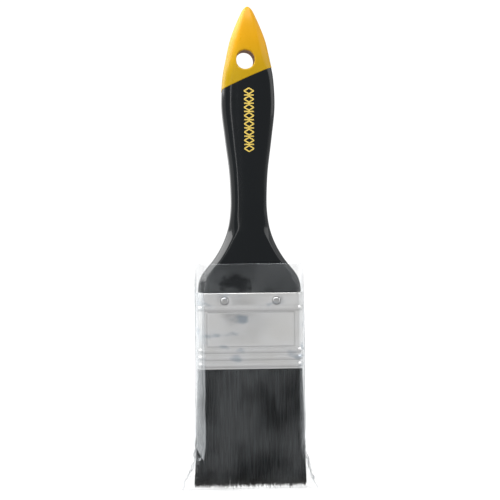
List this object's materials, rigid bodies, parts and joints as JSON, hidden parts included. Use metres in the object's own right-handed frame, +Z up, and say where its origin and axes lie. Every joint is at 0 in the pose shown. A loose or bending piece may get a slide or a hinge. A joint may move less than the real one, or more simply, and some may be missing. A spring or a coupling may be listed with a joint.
{
  "type": "flat paint brush",
  "caption": "Flat paint brush with a lacquered beaver-tail wood handle, a beaded metal ferrule, dark bristles and a clear film sleeve that slides off the head.",
  "frame": {"origin": "centre of the hang hole, which is drilled 1.5 mm to the left of the brush's centre line", "axes": "+Z up along the handle to its tip, bristles down, +X across the width, front face towards -Y"},
  "size_m": [0.0665, 0.0172, 0.2332],
  "materials": {
    "black_lacquered_wood": "black high-gloss lacquer over turned wood",
    "yellow_dip_lacquer": "yellow gloss dip lacquer",
    "plated_ferrule": "bright nickel-plated sheet steel with rolled beads",
    "steel_nail": "bright steel nail",
    "black_filament": "black tapered filament, soft sheen along its length",
    "bare_wood": "unfinished softwood",
    "cured_resin": "amber cured epoxy",
    "clear_film": "clear glossy polyethylene film with fine creases"
  },
  "bodies": {
    "brush": {"handle": "black_lacquered_wood", "tip_dip_coat": "yellow_dip_lacquer", "ferrule": "plated_ferrule", "nail_front_left": "steel_nail", "nail_front_right": "steel_nail", "nail_back_left": "steel_nail", "nail_back_right": "steel_nail", "bristle_front": "black_filament", "bristle_middle": "black_filament", "bristle_back": "black_filament", "spacer_plug_front": "bare_wood", "spacer_plug_back": "bare_wood", "epoxy_setting": "cured_resin"},
    "sleeve": {"film_sleeve": "clear_film"}
  },
  "joints": [
    {"name": "sleeve_slide", "type": "slide", "parent": "brush", "child": "sleeve", "axis": [0, 0, -1], "range_m": [0, 0.12]}
  ]
}
